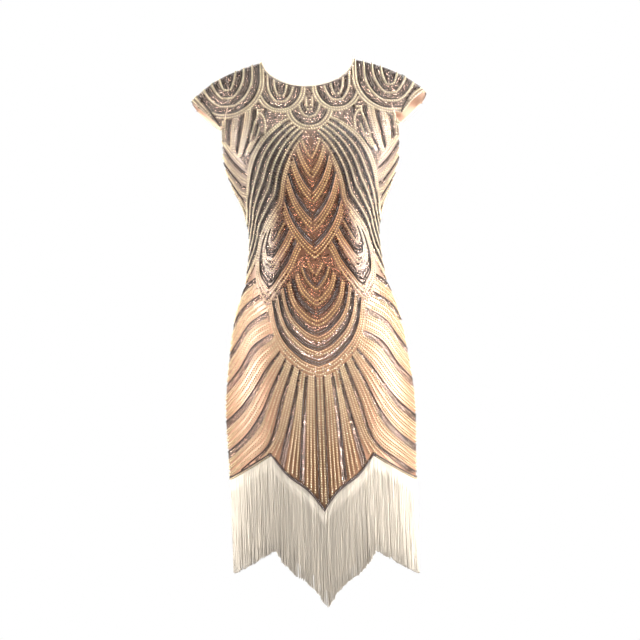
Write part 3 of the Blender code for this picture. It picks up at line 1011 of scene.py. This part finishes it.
def make_fringe(name, side):
    shares = np.linspace(-1, 1, 2001)
    hem_line = body_places(side, shares, hem_height(shares))
    level_line = hem_line[:, :2]
    run = run_along(level_line)
    roots, outs, runs = [], [], []
    for layer, out in enumerate(LAYERS):
        at = np.arange(YARN_PITCH * (0.3 + layer / 3), run[-1] - 0.3 * MM, YARN_PITCH)
        at = at + rng.uniform(-0.3, 0.3, len(at)) * YARN_PITCH
        at = np.clip(at, YARN_RADIUS, run[-1] - YARN_RADIUS)
        spots = spots_at(at, run, hem_line)
        way = unit(spots_at(at + MM, run, level_line) - spots_at(at - MM, run, level_line))
        outward = np.column_stack([-way[:, 1], way[:, 0]]) * side
        spots[:, :2] += outward * out * MM
        roots.append(spots)
        outs.append(outward)
        runs.append(at)
    roots, outs, runs = np.vstack(roots), np.vstack(outs), np.concatenate(runs)
    count = len(roots)
    shape = yarn_shape()
    corners = shape[0]
    down = -corners[:, 2]
    length = FRINGE_LENGTH - np.abs(rng.normal(0, YARN_UNEVEN, count)) * MM
    short = rng.uniform(0, 1, count) < SHORT_SHARE
    length = length - np.where(short, rng.uniform(*SHORT_BY, count), 0) * MM
    lock = sum(size * np.sin(runs * waves + start) for size, waves, start in LOCKS)
    lean = lock * LOCK_LEAN * MM + rng.normal(0, OWN_LEAN, count) * MM
    sway = rng.normal(0, OWN_SWAY, count) * MM
    phase = rng.uniform(0, 2 * math.pi, count)
    across = lean[:, None] * down**1.5 + sway[:, None] * np.sin(phase[:, None] + down * 9)
    forth = sway[:, None] * np.cos(phase[:, None] + down * 7) * np.minimum(down * 6, 1)
    way = np.column_stack([outs[:, 1], -outs[:, 0]])
    spots = np.zeros((count, len(corners), 3))
    for k in (0, 1):
        spots[..., k] = roots[:, k, None] + corners[:, k] + way[:, k, None] * across
        spots[..., k] += outs[:, k, None] * forth
    spots[..., 2] = roots[:, 2, None] - 0.4 * MM - down * length[:, None]
    fringe = joined(name, shape, spots)
    fringe.data.shade_smooth()
    return fringe


fringes = {side: make_fringe("fringe_yarns_" + word, side) for side, word in SIDES}

# %% [markdown]
# ## Finishes
# Each finish is a small node tree on a Principled shader. The colours change over the dress: grey
# taupe on the bodice, rust brown in the middle of the waist, and peach on the skirt, so one helper
# makes that blend from Object coordinates and every finish of the beading uses it. The rust brown in
# the middle is partly the dress's own colour and partly painted shade, the nude ground darkened as it
# looks in shadow.

# %% Node helpers
def new_finish(name, **values):
    finish = bpy.data.materials.new(name)
    finish.use_nodes = True
    shader = finish.node_tree.nodes["Principled BSDF"]
    for word, value in values.items():
        shader.inputs[SOCKETS[word]].default_value = value
    return finish, shader


SOCKETS = {
    "base": "Base Color", "metallic": "Metallic", "roughness": "Roughness",
    "sheen": "Sheen Weight", "sheen_roughness": "Sheen Roughness",
    "coat": "Coat Weight", "coat_roughness": "Coat Roughness",
    "glow": "Emission Color", "glow_strength": "Emission Strength",
}


def add_node(finish, kind, inputs=(), **settings):
    """A new node with its settings, and with inputs given as values or as sockets to link from."""
    node = finish.node_tree.nodes.new(kind)
    for key, value in settings.items():
        setattr(node, key, value)
    for key, value in dict(inputs).items():
        if isinstance(value, bpy.types.NodeSocket):
            finish.node_tree.links.new(value, node.inputs[key])
        else:
            node.inputs[key].default_value = value
    return node


def math_node(finish, operation, first, second=0.0):
    return add_node(finish, "ShaderNodeMath", {0: first, 1: second}, operation=operation).outputs[0]


def ranged(finish, value, low, high, start, end, kind="LINEAR"):
    """The value, with its range from low to high stretched to run from start to end."""
    inputs = {0: value, 1: low, 2: high, 3: start, 4: end}
    return add_node(finish, "ShaderNodeMapRange", inputs, interpolation_type=kind).outputs[0]


def grey_of(finish, level):
    return add_node(finish, "ShaderNodeCombineColor", {0: level, 1: level, 2: level}).outputs[0]


def cloudy(finish, place, scale, detail, dark, light):
    """Slow changes of shade over the piece."""
    cloud = add_node(finish, "ShaderNodeTexNoise", {"Vector": place, "Scale": scale, "Detail": detail})
    return grey_of(finish, ranged(finish, cloud.outputs[0], 0.3, 0.7, dark, light))


def bumped(finish, shader, height, strength, distance):
    inputs = {"Height": height, "Strength": strength, "Distance": distance}
    bump = add_node(finish, "ShaderNodeBump", inputs)
    finish.node_tree.links.new(bump.outputs[0], shader.inputs["Normal"])


def mixed(finish, factor, first, second, blend="MIX"):
    node = add_node(finish, "ShaderNodeMix", {"Factor": factor}, data_type="RGBA", blend_type=blend)
    for slot, value in ((6, first), (7, second)):
        if isinstance(value, bpy.types.NodeSocket):
            finish.node_tree.links.new(value, node.inputs[slot])
        else:
            node.inputs[slot].default_value = (*value, 1)
    return node.outputs[2]


def srgb(code):
    """A colour as it is written for screens, made linear."""
    parts = [int(code[i:i + 2], 16) / 255 for i in (0, 2, 4)]
    return tuple(part / 12.92 if part < 0.04045 else ((part + 0.055) / 1.055) ** 2.4 for part in parts)


WAIST_HEIGHT, WAIST_WIDE, WAIST_HIGH = -0.365, 0.085, 0.225
SKIRT_FROM, SKIRT_FULL, SKIRT_SLOPE = -0.48, -0.62, 1.1


def squared(finish, value, size):
    return math_node(finish, "POWER", math_node(finish, "DIVIDE", value, size), 2.0)


def blend_over_dress(finish, bodice, waist_and_shade, skirt):
    """Bodice colour above, rust and painted shade in the middle of front and back, skirt colour below."""
    place = add_node(finish, "ShaderNodeTexCoord").outputs["Object"]
    axes = add_node(finish, "ShaderNodeSeparateXYZ", {0: place})
    x, z = axes.outputs[0], axes.outputs[2]
    wide = squared(finish, x, WAIST_WIDE)
    high = squared(finish, math_node(finish, "ADD", z, -WAIST_HEIGHT), WAIST_HIGH)
    away = math_node(finish, "ADD", wide, high)
    # The middle of the front and back takes the waist colour, which is partly painted shade.
    centre = ranged(finish, away, 0.45, 1.15, 1.0, 0.0, "SMOOTHSTEP")
    slope = math_node(finish, "MULTIPLY", math_node(finish, "ABSOLUTE", x), SKIRT_SLOPE)
    low = math_node(finish, "SUBTRACT", z, slope)
    down = ranged(finish, low, SKIRT_FROM, SKIRT_FULL, 0.0, 1.0, "SMOOTHSTEP")
    return mixed(finish, down, mixed(finish, centre, bodice, waist_and_shade), skirt)


# %% [markdown]
# ### Net
# Fine stretch net whose outer side is packed with beading, so it is a little metallic with a thin
# gloss, and its tiny mesh shows as a bump. The inner side is plain nude net, matt with a faint sheen.

# %% Net finish
def net_finish(name, bodice, waist_and_shade, skirt):
    finish, shader = new_finish(name, metallic=0.4, roughness=0.5, coat=0.15, coat_roughness=0.35)
    colour = blend_over_dress(finish, bodice, waist_and_shade, skirt)
    place = add_node(finish, "ShaderNodeTexCoord").outputs["Object"]
    colour = mixed(finish, 1.0, colour, cloudy(finish, place, 38.0, 3.0, 0.9, 1.06), "MULTIPLY")
    uv = add_node(finish, "ShaderNodeUVMap", uv_map="weave").outputs[0]
    cells = add_node(finish, "ShaderNodeMapping", {"Vector": uv, "Scale": (330.0, 620.0, 1.0)}).outputs[0]
    holes = add_node(
        finish, "ShaderNodeTexVoronoi", {"Vector": cells, "Scale": 1.0}, voronoi_dimensions="2D",
    )
    finish.node_tree.links.new(colour, shader.inputs["Base Color"])
    bumped(finish, shader, holes.outputs["Distance"], 0.35, 0.0006)
    return finish


TAUPE = srgb("5e4e43")
# Rust brown for the middle of the waist, partly the net's own colour and partly painted shade.
RUST_AND_SHADE = srgb("5a3724")
PEACH = srgb("835d43")
NUDE = srgb("d6b198")
net = net_finish("beaded_net", TAUPE, RUST_AND_SHADE, PEACH)
nude_net, _ = new_finish("nude_net", base=(*NUDE, 1), roughness=0.75, sheen=0.2)

# %% [markdown]
# ### Beads and sequins
# Seed beads are cream with a pearl glaze. Bugles are smoky glass with a foil lining, so they are dark
# and glossy. Sequins are metallised film: each leans its own way, and that makes them sparkle.

# %% Bead finishes
def varied(finish, dark, light):
    tint = add_node(finish, "ShaderNodeAttribute", attribute_name="tint").outputs["Fac"]
    return grey_of(finish, ranged(finish, tint, 0.0, 1.0, dark, light))


def beading_finish(name, bodice, waist_and_shade, skirt, dark, light, **values):
    finish, shader = new_finish(name, **values)
    colour = blend_over_dress(finish, bodice, waist_and_shade, skirt)
    colour = mixed(finish, 1.0, colour, varied(finish, dark, light), "MULTIPLY")
    finish.node_tree.links.new(colour, shader.inputs["Base Color"])
    return finish


# The second colour of each beading finish is its waist colour, darkened in part as painted shade.
cream_beads = beading_finish(
    "cream_seed_beads", srgb("c6b698"), srgb("ae8a5c"), srgb("c2ad8a"), 0.75, 1.15,
    metallic=0.3, roughness=0.26, coat=0.45, coat_roughness=0.12,
)
dark_bugles = beading_finish(
    "smoky_bugles", srgb("2c201a"), srgb("2a1711"), srgb("35241c"), 0.6, 1.3,
    metallic=0.4, roughness=0.2, coat=0.35, coat_roughness=0.1,
)
tan_glass = beading_finish(
    "tan_bugles", srgb("b09a7c"), srgb("a07048"), srgb("b88d66"), 0.7, 1.2,
    metallic=0.3, roughness=0.3, coat=0.3, coat_roughness=0.15,
)
sequin_film = beading_finish(
    "sequin_film", srgb("95847a"), srgb("714f3d"), srgb("b7a094"), 0.55, 1.25,
    metallic=1.0, roughness=0.26,
)

# %% [markdown]
# ### Binding, tape and yarn
# The binding and tape are dark brown satin. The yarn is ivory rayon, a soft lustre with a fine knit.

# %% Trim finishes
def ribbed_finish(name, colour, ribs, strands=False, **values):
    """A plain colour with fine ribs across the height and slow changes of shade."""
    finish, shader = new_finish(name, **values)
    place = add_node(finish, "ShaderNodeTexCoord").outputs["Object"]
    streak = add_node(finish, "ShaderNodeMapping", {"Vector": place, "Scale": (160.0, 160.0, 9.0)}).outputs[0]
    grey = cloudy(finish, streak, 1.0, 2.0, 0.84, 1.05)
    if strands:
        grey = mixed(finish, 1.0, grey, varied(finish, 0.82, 1.06), "MULTIPLY")
    wave = add_node(
        finish, "ShaderNodeTexWave", {"Vector": place, "Scale": ribs, "Distortion": 1.5},
        bands_direction="Z",
    )
    colour = mixed(finish, 1.0, colour, grey, "MULTIPLY")
    finish.node_tree.links.new(colour, shader.inputs["Base Color"])
    bumped(finish, shader, wave.outputs["Fac"], 0.4, 0.0004)
    return finish


dark_satin = ribbed_finish("dark_satin", srgb("463730"), 180.0, roughness=0.5, sheen=0.2)
ivory_yarn = ribbed_finish(
    "ivory_yarn", srgb("c6bbab"), 160.0, strands=True, roughness=0.5, sheen=0.3, sheen_roughness=0.4,
)

# %% [markdown]
# ## Putting it together
# The nets get their thickness last, after the beads have found them. Then each piece gets its finish
# and is hung under the root, and the parts of the imported model that it stands in for are hidden.

# %% Dress the pieces
for sheet in (front_net, back_net, left_sleeve_net, right_sleeve_net):
    give_wall(sheet, NET_THICKNESS, 1)


def settle(piece, finish, slot, *nodes, lining=None):
    piece.data.materials.clear()
    for layer in (finish, lining):
        if layer:
            piece.data.materials.append(layer)
    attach(piece, "root")
    if nodes:
        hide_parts(*nodes)


settle(front_net, net, "beaded_net", "front_panel", lining=nude_net)
settle(back_net, net, "beaded_net_back", "back_panel", lining=nude_net)
settle(left_sleeve_net, net, "cap_sleeve", "cap_sleeve_left", lining=nude_net)
settle(right_sleeve_net, net, "cap_sleeve", "cap_sleeve_right", lining=nude_net)
settle(binding, dark_satin, "neck_beads", "neck_binding")
settle(picot, cream_beads, "neck_beads")
for side, word, net_slot in ((FRONT, "front", "beaded_net"), (BACK, "back", "beaded_net_back")):
    settle(tapes[side], dark_satin, "hem_beads", "hem_band_" + word)
    settle(fringes[side], ivory_yarn, "fringe_yarn", "fringe_" + word)
    settle(seed_beads[side], cream_beads, net_slot)
    settle(bugles[side], dark_bugles, net_slot)
    settle(tan_bugles[side], tan_glass, net_slot)
    settle(sequins[side], sequin_film, net_slot)


# %% [markdown]
# ## Camera, light and floor
# The dress is looked at straight from the front with a long lens, turned by two degrees, against white.
# Two tall soft boxes at the sides make the beading flash white along its edges. Weak lamps in front
# and above fill it, and one behind lights its far side. The floor is a plain pale disc where the
# wearer would stand, and it glows a little so that it stays pale.

# %% Camera
VIEW_WIDTH = 1.229
CAMERA_DISTANCE = 4.5
CAMERA_ROLL = math.radians(-2.14)
CAMERA_PLACE = (0.005, -CAMERA_DISTANCE, -0.497)
camera_data = bpy.data.cameras.new("camera")
camera_data.sensor_width = 36
camera_data.lens = camera_data.sensor_width * CAMERA_DISTANCE / VIEW_WIDTH
camera = set_out("camera", camera_data)
camera.matrix_world = (
    Matrix.Translation(CAMERA_PLACE)
    @ Matrix.Rotation(math.pi / 2, 4, "X") @ Matrix.Rotation(CAMERA_ROLL, 4, "Z")
)
bpy.context.scene.camera = camera

# %% Soft boxes
MIDDLE = Vector((0, 0, -0.3))


def soft_box(name, place, size, power, spread=180):
    data = bpy.data.lights.new(name, "AREA")
    data.shape = "RECTANGLE"
    data.size, data.size_y = size
    data.energy = power
    data.spread = math.radians(spread)
    lamp = set_out(name, data)
    lamp.location = place
    lamp.rotation_euler = (MIDDLE - Vector(place)).to_track_quat("-Z", "Y").to_euler()


soft_box("left_strip", (-2.1, -0.7, -0.05), (0.4, 1.2), 23, 50)
soft_box("right_strip", (2.1, -0.7, -0.05), (0.4, 1.2), 36, 50)
soft_box("front_left", (-2.6, -2.6, 0.9), (1.0, 1.0), 4)
soft_box("front_right", (2.6, -2.6, 0.9), (1.0, 1.0), 5)
soft_box("over_head", (0, -0.6, 1.7), (1.6, 1.6), 4)
soft_box("behind", (0, 2.8, 0.6), (2.0, 1.6), 45)

# %% Floor and surroundings
FLOOR_HEIGHT = -1.42
FLOOR_RADIUS = 1.7
FLOOR_SIDES = 96
WORLD_LIGHT = 0.12


def make_floor():
    mesh = bmesh.new()
    bmesh.ops.create_circle(mesh, cap_ends=True, segments=FLOOR_SIDES, radius=FLOOR_RADIUS)
    bmesh.ops.translate(mesh, vec=(0, 0, FLOOR_HEIGHT), verts=mesh.verts)
    data = bpy.data.meshes.new("floor")
    mesh.to_mesh(data)
    mesh.free()
    finish, _ = new_finish(
        "pale_floor", base=(0.88, 0.87, 0.86, 1), roughness=0.9, glow=(1, 1, 1, 1), glow_strength=0.4,
    )
    data.materials.append(finish)
    floor = set_out("floor", data)


make_floor()


def make_surroundings():
    """White for the eye, and a softer grey for the light that it gives."""
    world = bpy.data.worlds.new("studio")
    world.use_nodes = True
    nodes, links = world.node_tree.nodes, world.node_tree.links
    lit, seen = nodes["Background"], nodes.new("ShaderNodeBackground")
    lit.inputs[0].default_value = (1, 1, 1, 1)
    lit.inputs[1].default_value = WORLD_LIGHT
    seen.inputs[0].default_value = (1, 1, 1, 1)
    path, either = nodes.new("ShaderNodeLightPath"), nodes.new("ShaderNodeMixShader")
    links.new(path.outputs["Is Camera Ray"], either.inputs[0])
    links.new(lit.outputs[0], either.inputs[1])
    links.new(seen.outputs[0], either.inputs[2])
    links.new(either.outputs[0], nodes["World Output"].inputs[0])
    bpy.context.scene.world = world


make_surroundings()
bpy.context.scene.view_settings.view_transform = "Standard"
